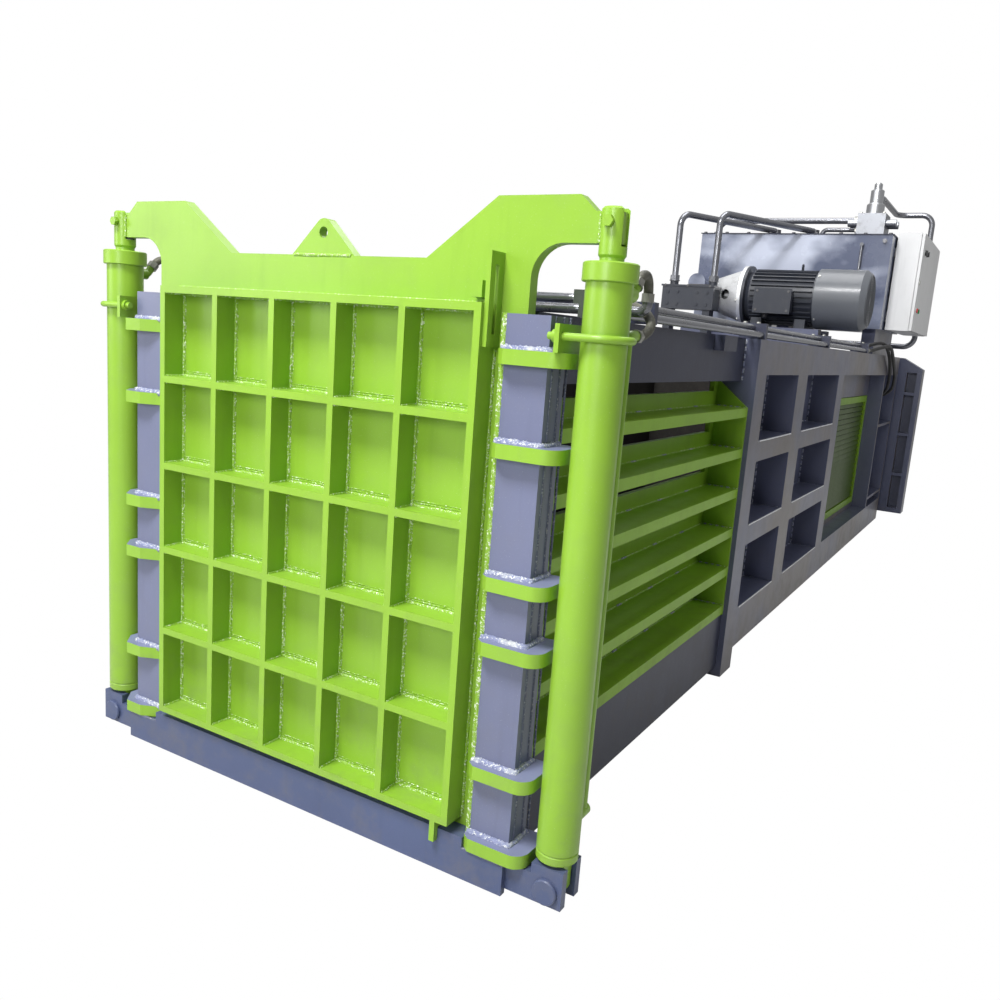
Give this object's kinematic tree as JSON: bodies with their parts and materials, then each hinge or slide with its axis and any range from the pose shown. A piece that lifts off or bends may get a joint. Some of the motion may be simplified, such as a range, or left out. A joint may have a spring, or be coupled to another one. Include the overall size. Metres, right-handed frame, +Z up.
{
  "type": "horizontal baling press",
  "caption": "Horizontal closed-end baling press with a ribbed lifting gate between two cylinders, slotted bale chamber, framed press body and a power pack on top.",
  "frame": {"origin": "on the floor, under the middle of the machine's bounding box", "axes": "+Z up, +Y from the lifting gate to the rear crosshead, +X to the right for someone facing the gate"},
  "size_m": [1.8222, 6.76, 2.692],
  "materials": {
    "green_paint": "satin",
    "grey_paint": "satin",
    "tank_paint": "gloss",
    "cabinet_paint": "satin",
    "bare_steel": "brushed",
    "bright_rod": "polished",
    "motor_paint": "satin",
    "cowl_paint": "satin",
    "cast_silver": "cast",
    "hose_rubber": "matt",
    "black_plastic": "matt",
    "red_plastic": "gloss",
    "green_plastic": "gloss"
  },
  "bodies": {
    "frame": {"access_door_hinges": "grey_paint", "bell_housing": "cast_silver", "chamber_roof": "grey_paint", "chamber_walls": "green_paint", "column_lugs": "green_paint", "control_cabinet": "cabinet_paint", "cylinder_foot_pins": "grey_paint", "cylinder_hoops": "green_paint", "cylinder_hoses": "hose_rubber", "fan_cowl": "cowl_paint", "floor_plate": "grey_paint", "foot_beams": "grey_paint", "foot_plates": "grey_paint", "front_sill": "grey_paint", "gate_cylinders": "green_paint", "gate_pipes": "grey_paint", "gland_caps": "green_paint", "guide_columns": "grey_paint", "hoop_brackets": "green_paint", "left_bay_cover": "green_paint", "left_side_frame": "grey_paint", "level_gauge": "bare_steel", "lower_beams": "grey_paint", "main_cylinder": "grey_paint", "motor_body": "motor_paint", "motor_stool": "grey_paint", "oil_tank": "tank_paint", "pipe_clamps": "black_plastic", "power_pipes": "grey_paint", "press_walls": "grey_paint", "pump": "motor_paint", "rear_crosshead": "grey_paint", "rear_hoses": "hose_rubber", "rear_roof": "grey_paint", "relief_valve": "bare_steel", "right_side_frame": "grey_paint", "tank_lid": "tank_paint", "tank_stand": "grey_paint", "terminal_box": "motor_paint", "upper_beams": "grey_paint", "valve_block": "motor_paint", "valve_manifold": "bare_steel", "wall_shelves": "green_paint"},
    "gate": {"gate_plate": "green_paint", "gate_ribs": "green_paint", "lifting_eye": "green_paint", "switch_bracket": "green_paint", "gate_foot_tab": "green_paint", "gate_rods": "green_paint", "rod_bolts": "green_paint"},
    "press_ram": {"ram": "grey_paint", "main_rod": "bright_rod"},
    "side_door": {"access_door": "green_paint"},
    "panel_door": {"cabinet_door": "cabinet_paint"},
    "power_switch": {"power_knob": "black_plastic"},
    "mode_switch": {"mode_knob": "black_plastic"},
    "stop_key": {"stop_button": "red_plastic"},
    "start_key": {"start_button": "green_plastic"},
    "rotor": {"motor_rotor": "bare_steel"},
    "oil_cap": {"filler_cap": "bright_rod"}
  },
  "joints": [
    {"name": "gate_lift", "type": "slide", "parent": "frame", "child": "gate", "axis": [0, 0, 1], "range_m": [0, 1.29]},
    {"name": "ram_stroke", "type": "slide", "parent": "frame", "child": "press_ram", "axis": [0, -1, 0], "range_m": [0, 2]},
    {"name": "side_door_hinge", "type": "hinge", "parent": "frame", "child": "side_door", "pos_m": [0.609, 0.562, 0.7], "axis": [0, 0, -1], "range_deg": [0, 90]},
    {"name": "panel_door_hinge", "type": "hinge", "parent": "frame", "child": "panel_door", "pos_m": [0.858, 3.029, 2], "axis": [0, 0, 1], "range_deg": [0, 110]},
    {"name": "power_switch_turn", "type": "hinge", "parent": "panel_door", "child": "power_switch", "pos_m": [0.878, 2.01, 2.205], "axis": [1, 0, 0], "range_deg": [-90, 0]},
    {"name": "mode_switch_turn", "type": "hinge", "parent": "panel_door", "child": "mode_switch", "pos_m": [0.878, 2.11, 2.205], "axis": [1, 0, 0], "range_deg": [-45, 45]},
    {"name": "stop_button_push", "type": "slide", "parent": "panel_door", "child": "stop_key", "axis": [-1, 0, 0], "range_m": [0, 0.003], "stiffness_N_per_m": 800},
    {"name": "start_button_push", "type": "slide", "parent": "panel_door", "child": "start_key", "axis": [-1, 0, 0], "range_m": [0, 0.003], "stiffness_N_per_m": 800},
    {"name": "motor_spin", "type": "hinge", "parent": "frame", "child": "rotor", "pos_m": [0.1, 1.18, 1.8], "axis": [1, 0, 0], "continuous": true},
    {"name": "oil_cap_turn", "type": "hinge", "parent": "frame", "child": "oil_cap", "pos_m": [-0.12, 2.45, 2.332], "axis": [0, 0, 1], "range_deg": [-20, 340]}
  ]
}
